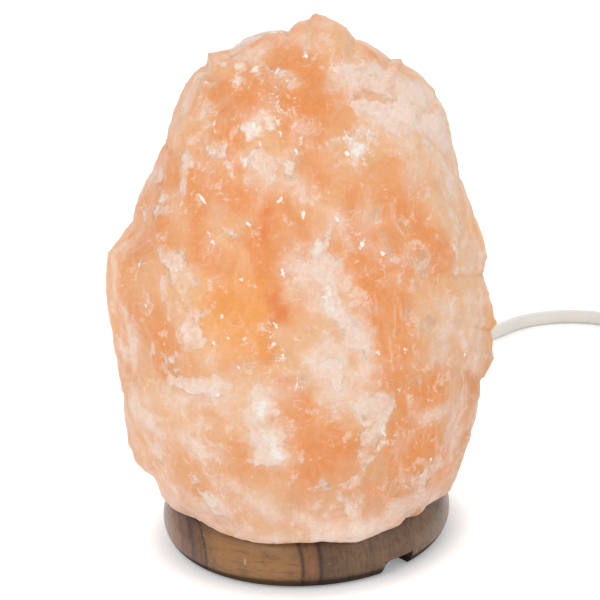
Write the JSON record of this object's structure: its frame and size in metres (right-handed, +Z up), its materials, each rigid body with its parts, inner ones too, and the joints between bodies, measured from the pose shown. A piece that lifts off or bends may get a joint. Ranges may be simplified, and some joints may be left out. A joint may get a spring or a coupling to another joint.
{
  "type": "salt crystal lamp",
  "caption": "Rough-hewn translucent salt crystal on a round dark wooden base, lit by a small bulb on a sprung holder, with corded dimmer and plug.",
  "frame": {"origin": "on the table, on the axis of the round wooden base", "axes": "+Z up, -Y the side that faces the room, +X to its right"},
  "size_m": [0.3291, 0.2776, 0.2118],
  "materials": {
    "rock_salt": "rough, translucent",
    "walnut": "satin lacquer",
    "black_rubber": "matt",
    "zinc_steel": "zinc plated",
    "nylon": "moulded",
    "white_phenolic": "moulded",
    "spring_steel": "nickel plated",
    "brass": "stamped",
    "clear_glass": "clear",
    "black_glass": "gloss",
    "solder": "satin",
    "tungsten": "glowing",
    "white_abs": "fine moulded texture",
    "board_green": "solder mask",
    "black_epoxy": "moulded",
    "amber_epoxy": "dipped",
    "blue_case": "moulded",
    "core_insulation": "extruded",
    "white_pvc": "extruded, satin",
    "nickel_blades": "nickel plated",
    "tie_cloth": "hook and loop"
  },
  "bodies": {
    "holder_and_cord": {"holder_cap": "white_phenolic", "holder_body": "white_phenolic", "holder_screws": "zinc_steel", "holder_wires": "core_insulation", "holder_relief": "white_pvc", "spring_clip": "spring_steel", "screw_shell": "brass", "centre_contact": "brass", "terminal_screws": "brass", "dimmer_lower_shell": "white_abs", "dimmer_upper_shell": "white_abs", "potentiometer": "blue_case", "circuit_board": "board_green", "triac": "black_epoxy", "capacitor": "amber_epoxy", "dimmer_wires": "core_insulation", "dimmer_screws": "zinc_steel", "dimmer_reliefs": "white_pvc", "plug_body": "white_pvc", "plug_blades": "nickel_blades", "plug_relief": "white_pvc", "cord_lamp_side": "white_pvc", "cord_plug_side": "white_pvc", "cord_coil": "white_pvc", "cord_plug_end": "white_pvc", "cord_tie": "tie_cloth"},
    "crystal_on_base": {"salt_crystal": "rock_salt", "wood_base": "walnut", "rubber_feet": "black_rubber", "base_screws": "zinc_steel", "wall_plugs": "nylon"},
    "bulb": {"bulb_glass": "clear_glass", "bulb_cap": "brass", "bulb_insulator": "black_glass", "bulb_tip": "solder", "bulb_stem": "clear_glass", "bulb_leads": "spring_steel", "bulb_filament": "tungsten"},
    "knob": {"dimmer_knob": "white_abs", "potentiometer_shaft": "zinc_steel"}
  },
  "joints": [
    {"name": "crystal_lift", "type": "slide", "parent": "holder_and_cord", "child": "crystal_on_base", "axis": [0, 0, 1], "range_m": [0, 0.125]},
    {"name": "bulb_unscrew", "type": "hinge", "parent": "holder_and_cord", "child": "bulb", "pos_m": [0, 0, 0.08], "axis": [0, 0, 1], "range_deg": [0, 1350]},
    {"name": "dimmer_turn", "type": "hinge", "parent": "holder_and_cord", "child": "knob", "pos_m": [0.165, 0.101, 0.019], "axis": [0, 0, 1], "range_deg": [0, 290]}
  ]
}
